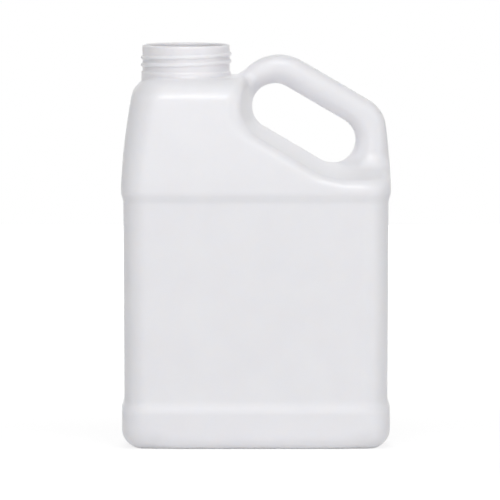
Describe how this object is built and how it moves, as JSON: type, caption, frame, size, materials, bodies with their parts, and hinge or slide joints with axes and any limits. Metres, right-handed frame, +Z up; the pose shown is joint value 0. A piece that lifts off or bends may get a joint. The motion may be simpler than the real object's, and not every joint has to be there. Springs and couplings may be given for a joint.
{
  "type": "plastic gallon jug",
  "caption": "Oblong blow-moulded plastic jug with a wide threaded open mouth and a slanted through-handle moulded in one corner.",
  "frame": {"origin": "centre of the body at the underside of the base, where the jug rests", "axes": "+Z up along the height, +X towards the handle, Y through the depth with the parting plane at Y = 0"},
  "size_m": [0.186, 0.107, 0.2768],
  "materials": {
    "jug_plastic": "satin off-white polyethylene, slightly translucent"
  },
  "bodies": {
    "root": {"jug": "jug_plastic"}
  },
  "joints": []
}
